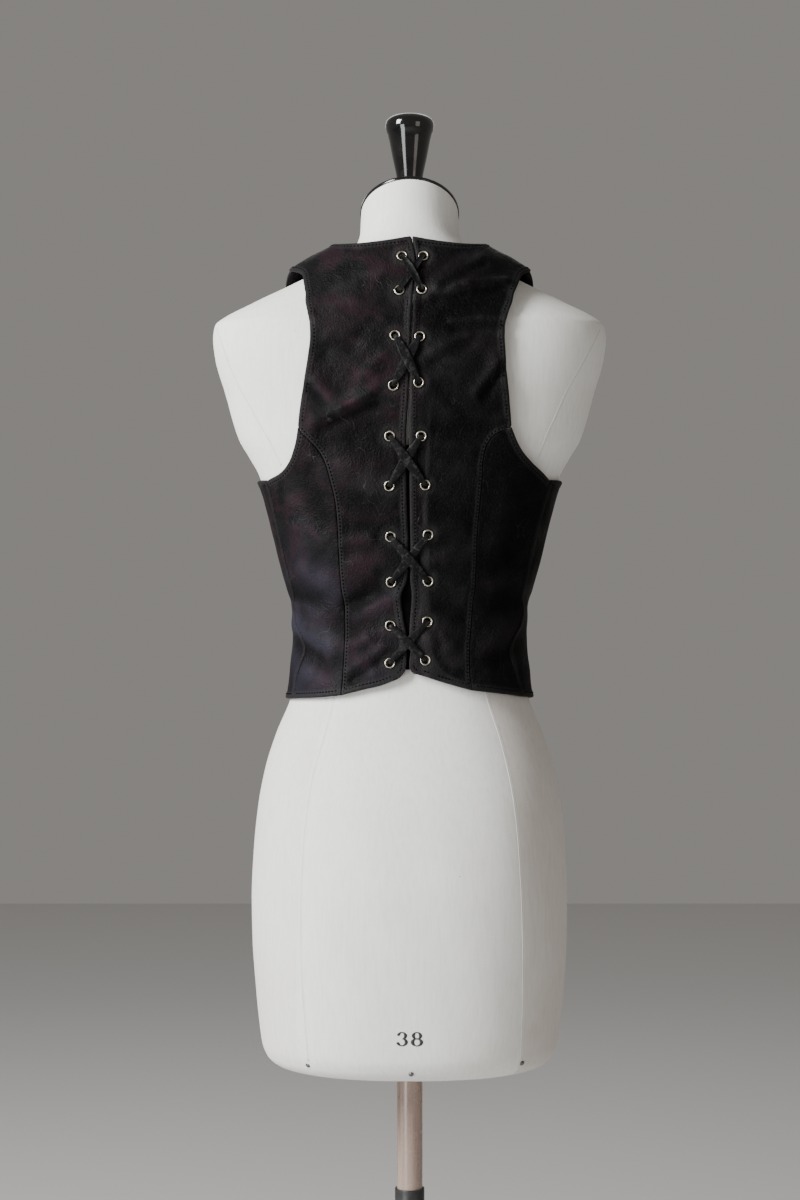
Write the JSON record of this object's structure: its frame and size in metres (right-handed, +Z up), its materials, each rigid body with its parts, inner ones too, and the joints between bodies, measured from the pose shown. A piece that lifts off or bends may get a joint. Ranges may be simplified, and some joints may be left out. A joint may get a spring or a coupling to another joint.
{
  "type": "leather vest on a dress form",
  "caption": "Black suede vest with a laced centre back and princess seams, on a limbless cloth-covered dress form with a turned finial, wooden pole and round foot.",
  "frame": {"origin": "on the floor under the round foot, on the axis of the pole", "axes": "+Z up; the laced back of the vest faces -Y and its front +Y; +X to the wearer's right"},
  "size_m": [0.412, 0.38, 1.594],
  "materials": {
    "suede": "matt black suede with a faint maroon and blue cast, scuffed, with black topstitching",
    "thong": "flat black suede thong",
    "eyelet_brass": "pale aged brass, rolled rim",
    "form_cloth": "tight off-white cotton with fine seams and small stains",
    "black_lacquer": "glossy black lacquer on turned wood and on the neck plate",
    "pole_wood": "pale varnished beech",
    "tack_steel": "domed steel tack heads",
    "black_paint": "satin black paint"
  },
  "bodies": {
    "root": {"back_left": "suede", "side_back_left": "suede", "front_left": "suede", "back_right": "suede", "side_back_right": "suede", "front_right": "suede", "under_lap": "suede", "eyelet_left_1": "eyelet_brass", "eyelet_left_2": "eyelet_brass", "eyelet_left_3": "eyelet_brass", "eyelet_left_4": "eyelet_brass", "eyelet_left_5": "eyelet_brass", "eyelet_left_6": "eyelet_brass", "eyelet_left_7": "eyelet_brass", "eyelet_left_8": "eyelet_brass", "eyelet_left_9": "eyelet_brass", "eyelet_left_10": "eyelet_brass", "eyelet_right_1": "eyelet_brass", "eyelet_right_2": "eyelet_brass", "eyelet_right_3": "eyelet_brass", "eyelet_right_4": "eyelet_brass", "eyelet_right_5": "eyelet_brass", "eyelet_right_6": "eyelet_brass", "eyelet_right_7": "eyelet_brass", "eyelet_right_8": "eyelet_brass", "eyelet_right_9": "eyelet_brass", "eyelet_right_10": "eyelet_brass", "lace": "thong", "torso": "form_cloth", "neck_plate": "black_lacquer", "finial": "black_lacquer", "tack_left": "tack_steel", "tack_centre": "tack_steel", "tack_right": "tack_steel", "pole": "pole_wood", "sleeve": "black_paint", "socket": "black_paint", "base": "black_paint"}
  },
  "joints": []
}
